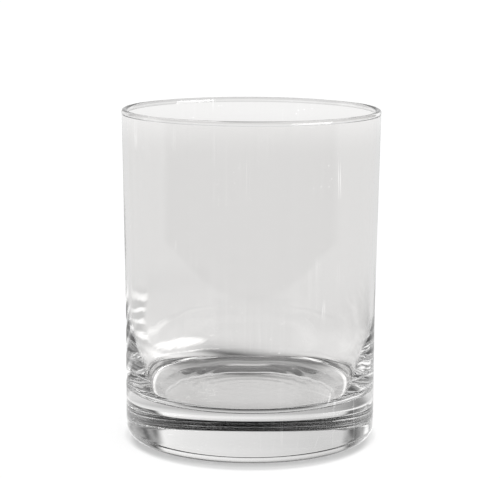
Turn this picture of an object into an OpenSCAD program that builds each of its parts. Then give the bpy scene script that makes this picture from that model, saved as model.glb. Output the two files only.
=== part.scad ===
// Double old fashioned glass: a heavy-based tumbler in one piece of clear glass.
// The origin is the middle of the foot on the table, +Z is up, and lengths are in millimetres.

/* [Overall] */
// Height from the table to the top of the lip
glass_h = 108; // [96:0.5:120]
// Outside diameter across the lip
rim_d = 84; // [76:0.5:92]

/* [Side wall] */
// Height of the upright lower band of the outside
band_h = 42; // [30:0.5:60]
// How far the wall leans out between that band and the lip
lean_w = 1; // [0.4:0.1:3]
// Radius of the soft bend where the upright band starts to lean
bend_r = 700; // [200:10:1200]
// Thickness of the wall just under the lip
lip_wall = 1.4; // [1.2:0.1:2.6]
// Lean of the inside wall from upright, in degrees
inside_lean = 1.1; // [0.8:0.1:3]

/* [Lip] */
// How far the fire-polished bead stands out from the outside of the wall
bead_out = 0.2; // [0.1:0.05:0.5]
// How far the bead stands in from the inside of the wall
bead_in = 0.5; // [0.1:0.05:0.8]

/* [Bowl] */
// Thickness of the heavy base, table to the edge of the bowl floor
base_t = 15.4; // [11:0.2:24]
// How far the bowl floor rises from its edge to its middle
floor_crown = 0.3; // [0.1:0.1:1.5]
// Radius of the tight curve round the edge of the bowl floor
floor_round = 4.6; // [3:0.2:9]
// Angle that the tight curve turns through, in degrees
floor_turn = 77; // [62:1:82]
// Radius of the long curve from there up into the wall
side_round = 110; // [60:5:160]

/* [Foot] */
// Radius of the rounded heel between the foot and the outside
heel_r = 4.5; // [1.5:0.5:6]
// Width of the flat ring that the glass stands on
ring_w = 4; // [3:0.5:9]
// Height of the shallow hollow under the middle of the foot
hollow_h = 1.3; // [0.6:0.1:4]

/* [Hidden] */

$fn = 160;
arc_steps = 20;
glass_tint = [0.86, 0.88, 0.87, 0.35];

// The lip: a round bead that overhangs the wall on both sides
rim_r = rim_d / 2;
bead_r = (lip_wall + bead_out + bead_in) / 2;
bead_c = [rim_r - bead_r, glass_h - bead_r];
bead_from = -acos(1 - bead_out / bead_r);
bead_to = 180 + acos(1 - bead_in / bead_r);

// The outside: an upright band, a soft bend and a wall that leans out to the bead
wall_top = bead_c + bead_r * [cos(bead_from), sin(bead_from)];
foot_r = wall_top.x - lean_w;
lean = atan(lean_w / (wall_top.y - band_h));
bend_c = [foot_r + bend_r, band_h - bend_r * tan(lean / 2)];

// The bowl: a slightly crowned floor, a tight curve, a long curve and a wall that leans out to the bead
bowl_top = bead_c + bead_r * [cos(bead_to), sin(bead_to)];
turn_z = base_t + floor_round * (1 - cos(floor_turn));
bowl_z = turn_z + side_round * (cos(floor_turn) - sin(inside_lean));
bowl_r = bowl_top.x - (bowl_top.y - bowl_z) * tan(inside_lean);
turn_r = bowl_r - side_round * (cos(inside_lean) - sin(floor_turn));
floor_r = turn_r - floor_round * sin(floor_turn);
side_c = [bowl_r - side_round * cos(inside_lean), bowl_z + side_round * sin(inside_lean)];
floor_c = [floor_r, base_t + floor_round];
crown_r = (floor_r ^ 2 + floor_crown ^ 2) / (2 * floor_crown);
crown_c = [0, base_t + floor_crown - crown_r];

// The foot: a rounded heel, a flat ring and a shallow dome inside it
heel_c = [foot_r - heel_r, heel_r];
hollow_rim_r = heel_c.x - ring_w;
hollow_r = (hollow_rim_r ^ 2 + hollow_h ^ 2) / (2 * hollow_h);
hollow_c = [0, hollow_h - hollow_r];

// Points along an arc, angles in degrees from the outward direction
function arc(c, r, from, to) = [
    for (i = [0:arc_steps])
        let (a = from + (to - from) * i / arc_steps)
            c + r * [cos(a), sin(a)]
];

// Half of the glass in section, from the middle of the foot round the lip to the bowl floor
function section() = concat(
    arc(hollow_c, hollow_r, 90, 90 - asin(hollow_rim_r / hollow_r)),
    arc(heel_c, heel_r, -90, 0),
    arc(bend_c, bend_r, 180, 180 - lean),
    arc(bead_c, bead_r, bead_from, bead_to),
    arc(side_c, side_round, -inside_lean, floor_turn - 90),
    arc(floor_c, floor_round, floor_turn - 90, -90),
    arc(crown_c, crown_r, 90 - asin(floor_r / crown_r), 90)
);

module tumbler() {
    color(glass_tint)
        rotate_extrude()
            polygon(section());
}

tumbler();
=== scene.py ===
import math
import bpy
from mathutils import Matrix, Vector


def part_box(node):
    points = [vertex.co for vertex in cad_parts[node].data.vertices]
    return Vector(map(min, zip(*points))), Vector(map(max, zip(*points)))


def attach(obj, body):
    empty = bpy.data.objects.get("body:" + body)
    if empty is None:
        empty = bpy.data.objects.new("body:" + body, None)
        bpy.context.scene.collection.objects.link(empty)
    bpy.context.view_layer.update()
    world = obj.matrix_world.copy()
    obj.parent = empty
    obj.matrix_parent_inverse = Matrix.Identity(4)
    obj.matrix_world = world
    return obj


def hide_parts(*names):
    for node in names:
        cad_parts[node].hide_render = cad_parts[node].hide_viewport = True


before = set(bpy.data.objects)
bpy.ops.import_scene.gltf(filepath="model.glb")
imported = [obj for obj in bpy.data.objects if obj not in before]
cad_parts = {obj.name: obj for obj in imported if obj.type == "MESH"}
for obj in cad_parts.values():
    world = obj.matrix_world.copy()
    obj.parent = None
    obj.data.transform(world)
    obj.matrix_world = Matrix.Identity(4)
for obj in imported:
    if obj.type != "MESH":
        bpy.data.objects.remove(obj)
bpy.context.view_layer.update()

scene = bpy.context.scene
scene.view_settings.view_transform = "Standard"

# The tumbler is one gob of clear soda-lime glass, pressed to a heavy base and a thin wall.
# Its lip is cut and fire-polished to a bead, and it stands on a flat ring round a shallow hollow.
# It is turned here from half of its section, whose sizes are the inputs of the tree below.
low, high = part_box("tumbler")
tumbler_sizes = {
    "Height": high.z - low.z,
    "Lip diameter": high.x - low.x,
    "Upright band": 0.042,
    "Lean": 0.0011,
    "Bend radius": 0.7,
    "Wall under the lip": 0.0015,
    "Inside lean": math.radians(1.1),
    "Bead outwards": 0.0001,
    "Bead inwards": 0.0003,
    "Base thickness": 0.0154,
    "Floor crown": 0.0003,
    "Floor round": 0.0046,
    "Floor turn": math.radians(77),
    "Side round": 0.11,
    "Heel radius": 0.0045,
    "Ring width": 0.004,
    "Hollow height": 0.0013,
    "Wave depth": 0.00008,
    "Wave length": 0.014,
    "Chill mark depth": 0.00003,
    "Chill mark pitch": 0.004833,
    "Seed": 7.0,
}

turning = bpy.data.node_groups.new("turning_of_the_tumbler", "GeometryNodeTree")
turning.is_modifier = True
size_sockets = {
    name: turning.interface.new_socket(name, in_out="INPUT", socket_type="NodeSocketFloat")
    for name in tumbler_sizes
}
turning.interface.new_socket("Tumbler", in_out="OUTPUT", socket_type="NodeSocketGeometry")
turned = turning.nodes.new("NodeGroupOutput")
given = turning.nodes.new("NodeGroupInput")


def feed(tree, value, socket):
    """Gives a socket a plain value, or links it to another node's output."""
    value = getattr(value, "socket", value)
    if isinstance(value, bpy.types.NodeSocket):
        tree.links.new(value, socket)
    else:
        socket.default_value = value


def place(tree, kind, inputs, **settings):
    """Adds a node, sets its options and feeds its inputs by name or number."""
    node = tree.nodes.new(kind)
    for option, choice in settings.items():
        setattr(node, option, choice)
    for name, value in inputs.items():
        feed(tree, value, node.inputs[name])
    return node


def work(tree, operation, *values):
    """A Math node on one, two or three values."""
    return place(tree, "ShaderNodeMath", dict(enumerate(values)), operation=operation).outputs[0]


def step(tree, value, start, end, low=0.0, high=1.0):
    """A smooth step from low to high as the value goes from start to end."""
    limits = {"From Min": start, "From Max": end, "To Min": low, "To Max": high}
    return place(tree, "ShaderNodeMapRange", {"Value": value, **limits},
                 interpolation_type="SMOOTHSTEP").outputs[0]


class Span:
    """A length or an angle of the section, so that its formulas are written as on a drawing."""

    def __init__(self, socket):
        self.socket = socket

    def reckon(self, operation, *others):
        return Span(work(turning, operation, self, *others))

    def __add__(self, other):
        return self.reckon("ADD", other)

    def __sub__(self, other):
        return self.reckon("SUBTRACT", other)

    def __rsub__(self, other):
        return Span(work(turning, "SUBTRACT", other, self))

    def __mul__(self, other):
        return self.reckon("MULTIPLY", other)

    def __truediv__(self, other):
        return self.reckon("DIVIDE", other)

    def __rtruediv__(self, other):
        return Span(work(turning, "DIVIDE", other, self))

    def __neg__(self):
        return self * -1.0

    def sin(self):
        return self.reckon("SINE")

    def cos(self):
        return self.reckon("COSINE")

    def tan(self):
        return self.reckon("TANGENT")

    def acos(self):
        return self.reckon("ARCCOSINE")

    def asin(self):
        return self.reckon("ARCSINE")

    def atan(self):
        return self.reckon("ARCTANGENT")

    def ramp(self, start, end):
        """0 before start and 1 after end, with a smooth step between."""
        return Span(step(turning, self, start, end))


def size(name):
    return Span(given.outputs[name])


def point(across, up):
    return place(turning, "ShaderNodeCombineXYZ", {"X": across, "Y": up}).outputs[0]


def arc(centre, radius, start, end, points):
    """A curve of the section, from one angle to another about its centre."""
    curve = place(turning, "GeometryNodeCurveArc",
                  {"Resolution": points, "Radius": radius, "Start Angle": start, "Sweep Angle": end - start},
                  mode="RADIUS")
    moved = place(turning, "GeometryNodeTransform",
                  {"Geometry": curve.outputs["Curve"], "Translation": point(*centre)})
    return moved.outputs[0]


def straight(start, end, points):
    """A straight part of the section."""
    line = place(turning, "GeometryNodeCurvePrimitiveLine",
                 {"Start": point(*start), "End": point(*end)}, mode="POINTS")
    spaced = place(turning, "GeometryNodeResampleCurve", {"Curve": line.outputs[0], "Count": points}, mode="COUNT")
    return spaced.outputs[0]


def on_arc(centre, radius, angle):
    return centre[0] + radius * angle.cos(), centre[1] + radius * angle.sin()


def part_way(start, end, share):
    return start[0] + (end[0] - start[0]) * share, start[1] + (end[1] - start[1]) * share


# The lip is a round bead, and the outside goes from it down a leaning wall and a soft bend to an upright band.
upright = math.pi / 2
rim_r = size("Lip diameter") / 2
bead_r = (size("Wall under the lip") + size("Bead outwards") + size("Bead inwards")) / 2
bead_c = (rim_r - bead_r, size("Height") - bead_r)
bead_from = -(1 - size("Bead outwards") / bead_r).acos()
bead_to = (1 - size("Bead inwards") / bead_r).acos() + math.pi
wall_top = on_arc(bead_c, bead_r, bead_from)
foot_r = wall_top[0] - size("Lean")
lean = (size("Lean") / (wall_top[1] - size("Upright band"))).atan()
bend_r = size("Bend radius")
bend_c = (foot_r + bend_r, size("Upright band") - bend_r * (lean / 2).tan())
bend_top = on_arc(bend_c, bend_r, math.pi - lean)

# The bowl goes down from the bead by a leaning wall, a long and a tight curve to a slightly crowned floor.
bowl_top = on_arc(bead_c, bead_r, bead_to)
inside_lean, turn = size("Inside lean"), size("Floor turn")
base, floor_round, side_round = size("Base thickness"), size("Floor round"), size("Side round")
turn_z = base + floor_round * (1 - turn.cos())
bowl_z = turn_z + side_round * (turn.cos() - inside_lean.sin())
bowl_r = bowl_top[0] - (bowl_top[1] - bowl_z) * inside_lean.tan()
turn_r = bowl_r - side_round * (inside_lean.cos() - turn.sin())
floor_r = turn_r - floor_round * turn.sin()
floor_c = (floor_r, base + floor_round)
side_c = (bowl_r - side_round * inside_lean.cos(), bowl_z + side_round * inside_lean.sin())
crown = size("Floor crown")
crown_r = (floor_r * floor_r + crown * crown) / (crown * 2)
crown_c = (0.0, base + crown - crown_r)

# The foot is a rounded heel, a flat ring to stand on and a shallow dome inside it.
heel_r, hollow_h = size("Heel radius"), size("Hollow height")
heel_c = (foot_r - heel_r, heel_r)
hollow_rim = heel_c[0] - size("Ring width")
hollow_r = (hollow_rim * hollow_rim + hollow_h * hollow_h) / (hollow_h * 2)
hollow_c = (0.0, hollow_h - hollow_r)

# A narrow strip of each wall under the bead keeps the bead's shading off the rest of the wall.
outer_strip, inner_strip = 0.004, 0.005
under_bead_out = part_way(wall_top, bend_top, outer_strip)
under_bead_in = part_way(bowl_top, (bowl_r, bowl_z), inner_strip)
outside = [
    arc(hollow_c, hollow_r, upright, upright - (hollow_rim / hollow_r).asin(), points=44),
    straight((hollow_rim, 0.0), (heel_c[0], 0.0), points=7),
    arc(heel_c, heel_r, -upright, 0.0, points=18),
    straight((foot_r, heel_r), (foot_r, bend_c[1]), points=12),
    arc(bend_c, bend_r, math.pi, math.pi - lean, points=14),
    straight(bend_top, under_bead_out, points=18),
    straight(under_bead_out, wall_top, points=3),
    arc(bead_c, bead_r, bead_from, bead_to, points=30),
]
inside = [
    straight(bowl_top, under_bead_in, points=3),
    straight(under_bead_in, (bowl_r, bowl_z), points=20),
    arc(side_c, side_round, -inside_lean, turn - upright, points=36),
    arc(floor_c, floor_round, turn - upright, -upright, points=26),
    arc(crown_c, crown_r, upright - (floor_r / crown_r).asin(), upright, points=32),
]

# Each curve runs once round a ring on the axis, and the seams between the curves are welded.
ring_r, ring_points, weld_gap = 0.01, 360, 0.000001
ring = place(turning, "GeometryNodeCurvePrimitiveCircle", {"Resolution": ring_points, "Radius": ring_r}, mode="RADIUS")
ring = place(turning, "GeometryNodeSetCurveNormal", {"Curve": ring.outputs["Curve"]}, mode="Z_UP")


def lathe(curves, bowl_side):
    """Turns curves of the section into skin, marked 1 on the bowl's side and 0 outside."""
    joined = turning.nodes.new("GeometryNodeJoinGeometry")
    for curve in reversed(curves):
        turning.links.new(curve, joined.inputs[0])
    set_in = place(turning, "GeometryNodeTransform",
                   {"Geometry": joined.outputs[0], "Translation": (-ring_r, 0, 0), "Scale": (1, -1, 1)})
    skin = place(turning, "GeometryNodeCurveToMesh", {"Curve": ring.outputs[0], "Profile Curve": set_in.outputs[0]})
    skin = place(turning, "GeometryNodeFlipFaces", {"Mesh": skin.outputs[0]})
    marked = place(turning, "GeometryNodeStoreNamedAttribute",
                   {"Geometry": skin.outputs[0], "Name": "bowl_side", "Value": bowl_side}, data_type="FLOAT")
    return marked.outputs[0]


both = turning.nodes.new("GeometryNodeJoinGeometry")
for skin in (lathe(inside, 1.0), lathe(outside, 0.0)):
    turning.links.new(skin, both.inputs[0])
welded = place(turning, "GeometryNodeMergeByDistance", {"Geometry": both.outputs[0], "Distance": weld_gap})

# Pressed glass is never quite even: slow waves in the bowl, weaker ones in the hollow under the foot,
# and faint rings round the bowl floor, where the glass chilled. Each dies out between two heights or radii.
bowl_waves_end = 0.045, 0.095
hollow_waves_end, hollow_top, hollow_share = (0.024, 0.031), (0.003, 0.006), 0.1
rings_start, rings_end, ring_sway = (0.006, 0.018), (0.018, 0.024), 5.0
skin_point = turning.nodes.new("GeometryNodeInputPosition").outputs[0]
x, y, z = (Span(output) for output in place(turning, "ShaderNodeSeparateXYZ", {"Vector": skin_point}).outputs)
radius = (x * x + y * y).reckon("SQRT")
marked = place(turning, "GeometryNodeInputNamedAttribute", {"Name": "bowl_side"}, data_type="FLOAT")
bowl_side = Span(marked.outputs[0])
swirl = place(turning, "ShaderNodeTexNoise", {"W": size("Seed"), "Scale": 1 / size("Wave length"), "Detail": 1.0},
              noise_dimensions="4D")
swirl = Span(swirl.outputs[0])
in_bowl = bowl_side * (1 - z.ramp(*bowl_waves_end))
in_hollow = (1 - bowl_side) * (1 - radius.ramp(*hollow_waves_end)) * (1 - z.ramp(*hollow_top))
waves = (swirl - 0.5) * 2.0 * size("Wave depth") * (in_bowl + in_hollow * hollow_share)
on_floor = bowl_side * radius.ramp(*rings_start) * (1 - z.ramp(*rings_end))
rings = (radius * (2 * math.pi / size("Chill mark pitch")) + swirl * ring_sway).sin()
rings = rings * size("Chill mark depth") * on_floor
normal = turning.nodes.new("GeometryNodeInputNormal")
push = place(turning, "ShaderNodeVectorMath", {0: normal.outputs[0], "Scale": waves + rings}, operation="SCALE")
wavy = place(turning, "GeometryNodeSetPosition", {"Geometry": welded.outputs[0], "Offset": push.outputs[0]})
smooth = place(turning, "GeometryNodeSetShadeSmooth", {"Geometry": wavy.outputs[0]})
bare = place(turning, "GeometryNodeRemoveAttribute", {"Geometry": smooth.outputs[0], "Name": "bowl_side"})

# The glass is clear and almost without colour. Drawing it out left faint upright lines in the wall.
clear_glass = bpy.data.materials.new("fire_polished_glass")
clear_glass.use_nodes = True
surface = clear_glass.node_tree
body = surface.nodes["Principled BSDF"]
body.inputs["IOR"].default_value = 1.52
body.inputs["Transmission Weight"].default_value = 1.0


def shift(tree, operation, *vectors):
    """A Vector Math node that gives a vector."""
    return place(tree, "ShaderNodeVectorMath", dict(enumerate(vectors)), operation=operation).outputs[0]


def reach(tree, vector):
    """The length of a vector."""
    return place(tree, "ShaderNodeVectorMath", {0: vector}, operation="LENGTH").outputs["Value"]


def noise(tree, vector, scale, detail, distortion=0.0):
    """Soft noise, from 0 to 1 and mostly near the middle."""
    inputs = {"Vector": vector, "Scale": scale, "Detail": detail, "Distortion": distortion}
    return place(tree, "ShaderNodeTexNoise", inputs).outputs[0]


def product(tree, first, *others):
    """Values multiplied one after the other."""
    for other in others:
        first = work(tree, "MULTIPLY", first, other)
    return first


plain_tint, line_tint = (0.996, 0.991, 0.986, 1), (0.990, 0.985, 0.980, 1)
lines_round, lines_up = 45, 9
wall_start, wall_full = 0.034, 0.038
on_glass = surface.nodes.new("ShaderNodeTexCoord").outputs["Object"]
round_axis = shift(surface, "MULTIPLY", on_glass, (1, 1, 0))
outwards = shift(surface, "NORMALIZE", round_axis)
drawn = shift(surface, "MULTIPLY", outwards, (lines_round, lines_round, lines_round))
drawn = shift(surface, "MULTIPLY_ADD", on_glass, (0, 0, lines_up), drawn)
draw_lines = step(surface, noise(surface, drawn, 1.0, 3.0), 0.3, 0.7)
on_wall = step(surface, reach(surface, round_axis), wall_start, wall_full)
tint = place(surface, "ShaderNodeMix", {0: product(surface, draw_lines, on_wall), 6: plain_tint, 7: line_tint},
             data_type="RGBA")
feed(surface, tint.outputs[2], body.inputs["Base Color"])

# Handling leaves wiped smears, hairline scratches and specks of dust, more in some places than in others. The
# scratches and specks are drawn as painted glints that glow.
smear_scale, smear_roughness = 70.0, 0.03
speck_cells, speck_edge, speck_core = 330.0, 0.085, 0.05
hair_edge, hair_core, scratch_glint = 0.0035, 0.001, 0.8
painted_glint_glow, ripple_scale = 0.25, 120.0
smears = noise(surface, on_glass, smear_scale, 5.0, distortion=1.5)
feed(surface, step(surface, smears, 0.52, 0.75, 0.0, smear_roughness), body.inputs["Roughness"])
patches = noise(surface, on_glass, 38.0, 2.0)
cells = place(surface, "ShaderNodeTexVoronoi", {"Vector": on_glass, "Scale": speck_cells}).outputs["Distance"]
dust_specks_and_glints = product(surface, step(surface, cells, speck_edge, speck_core), step(surface, patches, 0.5, 0.62))
wander = noise(surface, drawn, 0.35, 0.0, distortion=0.3)
off_hair = work(surface, "ABSOLUTE", work(surface, "SUBTRACT", wander, 0.5))
scratches_and_glints = product(surface, step(surface, off_hair, hair_edge, hair_core),
                step(surface, patches, 0.54, 0.62, 0.0, scratch_glint))
# The dust specks and hairline scratches glow in the emission as painted glints.
feed(surface, work(surface, "MAXIMUM", dust_specks_and_glints, scratches_and_glints), body.inputs["Emission Color"])
body.inputs["Emission Strength"].default_value = painted_glint_glow
ripple = noise(surface, on_glass, ripple_scale, 1.0)
skin_bump = place(surface, "ShaderNodeBump", {"Strength": 0.02, "Distance": 0.0002, "Height": ripple})
feed(surface, skin_bump.outputs[0], body.inputs["Normal"])

solid = place(turning, "GeometryNodeRealizeInstances", {"Geometry": bare.outputs[0]})
dressed = place(turning, "GeometryNodeSetMaterial", {"Geometry": solid.outputs[0], "Material": clear_glass})
turning.links.new(dressed.outputs[0], turned.inputs[0])

blank = bpy.data.objects.new("tumbler_turning", bpy.data.meshes.new("tumbler_turning"))
scene.collection.objects.link(blank)
lathe_work = blank.modifiers.new("turning", "NODES")
lathe_work.node_group = turning
for name, value in tumbler_sizes.items():
    lathe_work[size_sockets[name].identifier] = value
view_now = bpy.context.evaluated_depsgraph_get()
shape = bpy.data.meshes.new_from_object(blank.evaluated_get(view_now), depsgraph=view_now)
blank.modifiers.clear()
bpy.data.objects.remove(blank)
shape.materials.clear()
shape.materials.append(clear_glass)
shape.polygons.foreach_set("material_index", [0] * len(shape.polygons))
tumbler = bpy.data.objects.new("tumbler_glass", shape)
scene.collection.objects.link(tumbler)
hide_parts("tumbler")
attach(tumbler, "root")

# The table top is a wide sheet of pale matt laminate, on which the glass just stands.
# The camera sees it as the white of the page, with a painted shadow at the foot. Through the glass and in its
# mirror it glows with its pale grey, painted shadows and painted light where the glass gathers light on it.
table_half, table_drop = 12.0, 0.0001
corners = (-table_half, -table_half), (table_half, -table_half), (table_half, table_half), (-table_half, table_half)
table = bpy.data.meshes.new("table_top")
table.from_pydata([(*corner, -table_drop) for corner in corners], [], [(0, 1, 2, 3)])
table_top = bpy.data.objects.new("table_top", table)
scene.collection.objects.link(table_top)
pale = bpy.data.materials.new("pale_table")
pale.use_nodes = True
top = pale.node_tree
top.nodes.clear()
path = top.nodes.new("ShaderNodeLightPath").outputs
spot = top.nodes.new("ShaderNodeTexCoord").outputs["Object"]
along = place(top, "ShaderNodeSeparateXYZ", {"Vector": spot}).outputs
right, back = along["X"], along["Y"]
from_axis = reach(top, spot)


def mix(tree, share, first, second):
    """The first value, the second, or a share of both."""
    return place(tree, "ShaderNodeMix", {"Factor": share, "A": first, "B": second}).outputs[0]


# Straight behind the glass this is 1, beside it 0 and straight in front -1.
behind = work(top, "DIVIDE", back, from_axis)
in_line = step(top, work(top, "ABSOLUTE", behind), 0.5, 0.85)

# The painted shadow starts dark at the foot, bends to the left behind the glass and fades out.
shadow_end, shadow_start, shadow_depth = 0.112, 0.036, 0.9
shadow_width, shadow_falloff = 0.025, 1.3
bent = step(top, back, 0.042, 0.066, 0.003, 0.0125)
off_shadow = work(top, "ADD", right, bent)
right_side = work(top, "MAXIMUM", work(top, "MULTIPLY_ADD", off_shadow, -1 / shadow_width, 1.0), 0.0)
right_side = work(top, "POWER", right_side, shadow_falloff)
left_side = step(top, off_shadow, -0.014, -0.002)
painted_shadow = product(top, step(top, back, shadow_end, shadow_start, 0.0, shadow_depth),
                 work(top, "MINIMUM", right_side, left_side), step(top, back, 0.015, 0.03))

# Painted shade darkens it close to the foot too, before and behind it, and in front, where it reaches farther in
# mirrored light.
front_depth, mirror_depth = 0.85, 0.95
painted_shade_near_foot = product(top, step(top, from_axis, 0.049, 0.0405), in_line)
mirrored = work(top, "SUBTRACT", path["Is Glossy Ray"], path["Is Transmission Ray"])
mirrored = work(top, "GREATER_THAN", mirrored, 0.5)
painted_shade_in_front = product(top, step(top, from_axis, 0.14, 0.1, 0.0, mirror_depth), mirrored)
painted_shade_in_front = work(top, "MAXIMUM", painted_shade_in_front, step(top, from_axis, 0.11, 0.07, 0.0, front_depth))
painted_shade_in_front = product(top, painted_shade_in_front, step(top, behind, -0.5, -0.8))
painted_shadow = work(top, "MAXIMUM", painted_shadow, work(top, "MAXIMUM", painted_shade_near_foot, painted_shade_in_front))

# Light that the glass gathers is painted behind it on the left, as long patches with feathered edges.
feather_slant, feathers_across, feathers_along = 15, 600, 45


def turned_by(vector, degrees):
    """A place on the table, turned about the axis of the glass."""
    return place(top, "ShaderNodeVectorRotate", {"Vector": vector, "Angle": math.radians(degrees)},
                 rotation_type="Z_AXIS").outputs[0]


slant = shift(top, "MULTIPLY", turned_by(spot, feather_slant), (feathers_across, feathers_along, 0))
feathers = work(top, "SUBTRACT", noise(top, slant, 1.0, 2.0), 0.5)


def painted_light_patch(at, degrees, length, width, soft, frayed):
    """A long patch of painted gathered light: 1 in its middle and 0 outside it."""
    moved = turned_by(shift(top, "SUBTRACT", spot, (*at, 0)), degrees)
    away = reach(top, shift(top, "MULTIPLY", moved, (1 / width, 1 / length, 0)))
    return step(top, work(top, "MULTIPLY_ADD", feathers, frayed, away), 1 + soft, 1 - soft)


painted_gathered_light = 0.0
for light, painted_patch in (
    (0.50, painted_light_patch((-0.030, 0.086), 27, length=0.019, width=0.0055, soft=0.4, frayed=1.6)),
    (0.25, painted_light_patch((-0.044, 0.112), 9, length=0.024, width=0.003, soft=0.8, frayed=3.0)),
    (0.40, painted_light_patch((-0.040, 0.053), -60, length=0.014, width=0.006, soft=0.9, frayed=0.0)),
    (0.06, painted_light_patch((0.024, 0.105), 0, length=0.030, width=0.004, soft=0.9, frayed=0.0)),
):
    painted_gathered_light = work(top, "MULTIPLY_ADD", painted_patch, light, painted_gathered_light)

# Farther to the left this painted light falls in bars, one behind the other, from the rings that chilling left in the
# glass, with painted shade in the gaps.
bar_pitch, bar_start, bar_sway = 0.046, 2.7, 2.5
bar_light, bar_gap_depth = 0.6, 0.35
painted_bars = work(top, "MULTIPLY_ADD", back, 2 * math.pi / bar_pitch, product(top, feathers, bar_sway))
painted_bars = step(top, work(top, "SINE", work(top, "ADD", painted_bars, bar_start)), -0.2, 0.9)
barred = product(top, step(top, work(top, "MULTIPLY_ADD", back, 0.12, right), -0.034, -0.042),
                 step(top, right, -0.16, -0.09), step(top, back, 0.03, 0.06), step(top, back, 0.26, 0.2))
painted_bars = product(top, painted_bars, barred)
painted_gathered_light = work(top, "MULTIPLY_ADD", painted_bars, bar_light, painted_gathered_light)
painted_gap_shade = product(top, work(top, "SUBTRACT", barred, painted_bars), bar_gap_depth)
painted_shadow = work(top, "MAXIMUM", painted_shadow, painted_gap_shade)

# At the right, farther out, painted shade makes the table a little darker.
right_depth = 0.4
painted_shade_right = step(top, work(top, "DIVIDE", right, from_axis), 0.65, 0.8)
painted_shade_right = product(top, painted_shade_right, step(top, from_axis, 0.12, 0.19, 0.0, right_depth), step(top, from_axis, 0.33, 0.2))
painted_shadow = work(top, "MAXIMUM", painted_shadow, painted_shade_right)

# Painted light makes the laminate brighter beside the foot and far behind. In mirrored light painted darkness ends it
# a short way in front.
laminate_tone, grain_tone, grain_scale = 0.73, 0.03, 60.0
side_light, foot_light, far_light = 0.13, 0.45, 0.175
edge_right, edge_front = 0.40, 0.27
painted_light_beside = product(top, step(top, work(top, "ABSOLUTE", right), 0.014, 0.056, 0.0, side_light),
                 step(top, from_axis, 0.17, 0.09))
painted_light_by_foot = product(top, step(top, from_axis, 0.058, 0.046, 0.0, foot_light),
                  step(top, work(top, "ABSOLUTE", behind), 0.6, 0.3))
laminate_and_painted_light = work(top, "MULTIPLY_ADD", noise(top, spot, grain_scale, 4.0), grain_tone, laminate_tone)
laminate_and_painted_light = work(top, "ADD", laminate_and_painted_light, work(top, "ADD", painted_light_beside, painted_light_by_foot))
laminate_and_painted_light = product(top, laminate_and_painted_light, work(top, "SUBTRACT", 1.0, painted_shadow))
laminate_and_painted_light = work(top, "ADD", laminate_and_painted_light, painted_gathered_light)
oval = reach(top, shift(top, "MULTIPLY", spot, (1 / edge_right, 1 / edge_front, 0)))
painted_dark_past_edge = product(top, step(top, oval, 0.97, 1.03), step(top, behind, -0.1, -0.3), mirrored)
laminate_and_painted_light = product(top, laminate_and_painted_light, work(top, "SUBTRACT", 1.0, painted_dark_past_edge))
laminate_and_painted_light = work(top, "ADD", laminate_and_painted_light, step(top, from_axis, 0.74, 1.1, 0.0, far_light))

# Under the foot painted shade stands for the light that the glass keeps off it, most near the standing ring.
under_tone, ring_shade, foot_shade = 0.63, 0.06, 0.38
painted_dim_ring = product(top, step(top, from_axis, 0.014, 0.022), step(top, from_axis, 0.030, 0.022, 0.0, ring_shade))
painted_foot_ring = product(top, step(top, from_axis, 0.030, 0.034, 0.0, foot_shade), in_line)
painted_shade_under_glass = work(top, "SUBTRACT", work(top, "SUBTRACT", under_tone, painted_dim_ring), painted_foot_ring)
painted_light_in_glass = mix(top, step(top, from_axis, 0.036, 0.039), painted_shade_under_glass, laminate_and_painted_light)

# On the page only a small soft shadow is left, round the foot and in front of it. It is painted into the page's glow
# from the occlusion at the foot and an oval in front; the matt part keeps a little real shadow.
white, page_shade, matt_grey = (1, 1, 1, 1), (0.2, 0.2, 0.2, 1), (0.8, 0.8, 0.8, 1)
cast_right, cast_front, cast_forward = 0.0395, 0.04, 0.006
contact_reach, contact_tone = 0.0035, 0.75
cast_tone, page_tone = 0.57, 0.84
painted_contact_shade = place(top, "ShaderNodeAmbientOcclusion", {"Distance": contact_reach}, samples=16).outputs["AO"]
painted_cast_oval = reach(top, shift(top, "MULTIPLY_ADD", spot, (1 / cast_right, 1 / cast_front, 0),
                        (0, cast_forward / cast_front, 0)))
page_with_painted_shadow = product(top, step(top, painted_contact_shade, 0.3, 1.0, contact_tone, 1.0), step(top, painted_cast_oval, 0.93, 1.01, cast_tone, page_tone))
page_with_painted_shadow = place(top, "ShaderNodeEmission", {"Color": white, "Strength": page_with_painted_shadow})
shade = place(top, "ShaderNodeBsdfDiffuse", {"Color": page_shade})
seen = place(top, "ShaderNodeAddShader", {0: shade.outputs[0], 1: page_with_painted_shadow.outputs[0]})
# Rays through the glass and mirrored in it see the table as a glow of its tones with the painted shadows and painted
# light.
shown = place(top, "ShaderNodeEmission", {"Color": white, "Strength": painted_light_in_glass})
matt = place(top, "ShaderNodeBsdfDiffuse", {"Color": matt_grey})
through = work(top, "MAXIMUM", path["Is Transmission Ray"], path["Is Glossy Ray"])
either = place(top, "ShaderNodeMixShader", {0: through, 1: matt.outputs[0], 2: shown.outputs[0]})
either = place(top, "ShaderNodeMixShader", {0: path["Is Camera Ray"], 1: either.outputs[0], 2: seen.outputs[0]})
place(top, "ShaderNodeOutputMaterial", {"Surface": either.outputs[0]})
table.materials.append(pale)

# The studio is a room with a pale backdrop behind the table, dimmer walls at the sides and a dark ceiling.
# The walls are painted, with soft light bars on those beside the backdrop.
# A soft box on a stand at the front right lights the room, and shows as the small highlights on the lip.
studio = bpy.data.worlds.new("studio")
scene.world = studio
studio.use_nodes = True
room = studio.node_tree
room.nodes.clear()
ray = room.nodes.new("ShaderNodeLightPath").outputs
facing = room.nodes.new("ShaderNodeTexCoord").outputs["Generated"]
height = place(room, "ShaderNodeSeparateXYZ", {"Vector": facing}).outputs["Z"]
level_way = shift(room, "NORMALIZE", shift(room, "MULTIPLY", facing, (1, 1, 0)))


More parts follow.
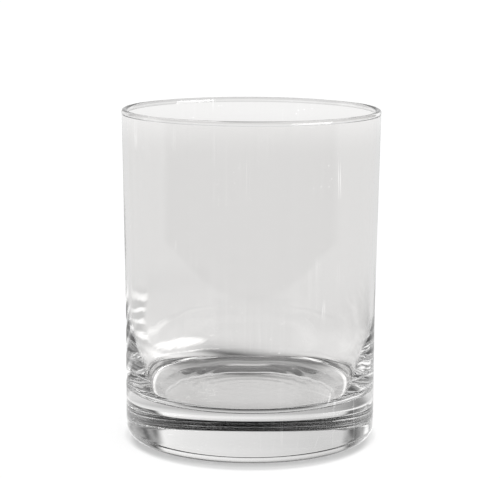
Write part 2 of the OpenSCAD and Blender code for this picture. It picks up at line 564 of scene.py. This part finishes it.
def towards(right, back):
    """How far a direction of the room points to one side, from -1 to 1."""
    return place(room, "ShaderNodeVectorMath", {0: level_way, 1: (right, back, 0)},
                 operation="DOT_PRODUCT").outputs["Value"]


wall_tone, front_tone, left_card = 0.14, 0.5, 0.6
bars_round, bars_up, bars_sway, bars_depth = 30.0, 14.0, 9.0, 0.85
backdrop_tone, backdrop_to_right, horizon_light = 0.77, 0.25, 0.1
walls = step(room, towards(0.0, 1.0), -0.3, -0.75, wall_tone, front_tone)
walls = work(room, "ADD", walls, step(room, towards(-0.97, 0.26), 0.95, 0.99, 0.0, left_card))
sway = product(room, noise(room, facing, 3.0, 1.0), bars_sway)
light_bars = work(room, "MULTIPLY_ADD", towards(1.0, 0.0), bars_round, sway)
light_bars = work(room, "SINE", work(room, "MULTIPLY_ADD", height, bars_up, light_bars))
light_bars = product(room, light_bars, step(room, towards(0.0, 1.0), -0.3, -0.1, 0.0, bars_depth))
walls = product(room, walls, work(room, "ADD", light_bars, 1.0))
backdrop = work(room, "MULTIPLY_ADD", towards(1.0, 0.0), backdrop_to_right, backdrop_tone)
backdrop = work(room, "ADD", backdrop, step(room, height, 0.19, 0.13, 0.0, horizon_light))
around = mix(room, step(room, towards(-0.035, 1.0), 0.77, 0.84), walls, backdrop)
below_ceiling = step(room, height, 0.48, 0.6, 1.0, 0.0)
on_matt = work(room, "GREATER_THAN", ray["Diffuse Depth"], 0.5)
level = mix(room, on_matt, product(room, around, below_ceiling), 1.0)
level = mix(room, ray["Is Camera Ray"], level, 1.0)
glow = place(room, "ShaderNodeBackground", {"Color": white, "Strength": level})
place(room, "ShaderNodeOutputWorld", {"Surface": glow.outputs[0]})

# The soft box is left out for light that has met the glass many times, where it would only give grain.
box_width, box_height, box_power, box_distance = 0.62, 0.26, 2.2, 0.9
box_round, box_down, most_meetings = 56, 71, 9.5
soft_box = bpy.data.lights.new("soft_box", "AREA")
soft_box.shape = "RECTANGLE"
soft_box.size, soft_box.size_y = box_width, box_height
soft_box.energy = box_power
soft_box.use_nodes = True
tube = soft_box.node_tree
meetings = tube.nodes.new("ShaderNodeLightPath").outputs["Ray Depth"]
feed(tube, work(tube, "LESS_THAN", meetings, most_meetings), tube.nodes["Emission"].inputs["Strength"])
lamp = bpy.data.objects.new("soft_box", soft_box)
scene.collection.objects.link(lamp)
aim = Matrix.Rotation(math.radians(box_round), 4, "Z") @ Matrix.Rotation(math.radians(box_down), 4, "X")
lamp.matrix_world = aim @ Matrix.Translation((0, 0, box_distance))

# Light goes in and out of the heavy base many times before it leaves, so it is followed that far.
scene.cycles.max_bounces = 24
scene.cycles.transmission_bounces = 24
scene.cycles.glossy_bounces = 16

# The camera has a long lens and stands on a tripod in front of the table.
# It is a little above the lip and looks slightly down, square on to the glass.
photo_width, focal_pixels, sensor_width = 500, 1985, 36
camera_place, looks_down, leans = (-0.00025, -0.64, 0.17), 9.3, 0.3
lens = bpy.data.cameras.new("camera")
lens.sensor_width = sensor_width
lens.lens = focal_pixels * sensor_width / photo_width
lens.clip_start = 0.01
camera = bpy.data.objects.new("camera", lens)
scene.collection.objects.link(camera)
tilt = Matrix.Rotation(math.radians(90 - looks_down), 4, "X") @ Matrix.Rotation(math.radians(leans), 4, "Z")
camera.matrix_world = Matrix.Translation(camera_place) @ tilt
scene.camera = camera
